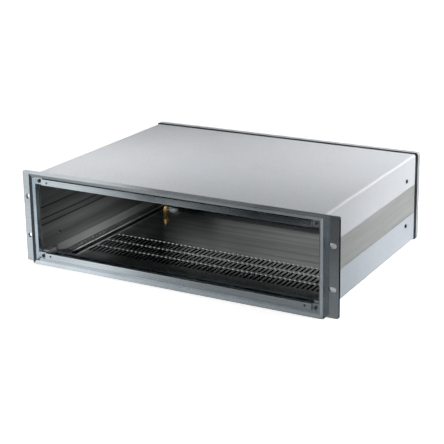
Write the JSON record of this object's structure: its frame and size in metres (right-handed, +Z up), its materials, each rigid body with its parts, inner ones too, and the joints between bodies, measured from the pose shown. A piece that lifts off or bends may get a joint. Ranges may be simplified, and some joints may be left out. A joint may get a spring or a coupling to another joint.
{
  "type": "rack mount case",
  "caption": "Open-fronted aluminium rack mount case with eared front frame, folded covers, slotted bottom, perforated side ledges and a brass earth terminal.",
  "frame": {"origin": "under the middle of the case, on the surface that the two frames stand on", "axes": "+X across the rack to the right seen from the front, +Y from front to rear, +Z up"},
  "size_m": [0.4826, 0.342, 0.1325],
  "materials": {
    "frame_alloy": "cast frame, satin anodised, cool grey",
    "rear_alloy": "rear frame, satin anodised, light grey",
    "side_alloy": "extruded side panel, satin anodised, warm grey",
    "cover_sheet": "folded sheet, fine satin, light cool grey",
    "bottom_sheet": "folded sheet, brushed, reflective inside",
    "panel_sheet": "flat sheet, brushed",
    "rail_alloy": "extruded rail, satin",
    "block_alloy": "sawn block, matt",
    "plated_steel": "zinc plated",
    "black_steel": "blackened screw",
    "brass": "turned brass"
  },
  "bodies": {
    "root": {"front_frame": "frame_alloy", "rear_frame": "rear_alloy", "left_side_panel": "side_alloy", "right_side_panel": "side_alloy", "top_cover": "cover_sheet", "bottom_cover": "bottom_sheet", "rear_panel": "panel_sheet", "front_top_rail": "rail_alloy", "front_bottom_rail": "rail_alloy", "rear_top_rail": "rail_alloy", "rear_bottom_rail": "rail_alloy", "front_corner_blocks": "block_alloy", "rear_corner_blocks": "block_alloy", "front_frame_screws": "plated_steel", "rear_frame_screws": "plated_steel", "front_rail_screws": "plated_steel", "rear_rail_screws": "plated_steel", "top_cover_screws": "black_steel", "bottom_cover_screws": "black_steel", "top_cover_nuts": "plated_steel", "bottom_cover_nuts": "plated_steel", "rear_panel_screws": "plated_steel", "earth_stud": "brass", "earth_washers": "brass", "earth_lower_nut": "brass", "earth_upper_nut": "brass"}
  },
  "joints": []
}
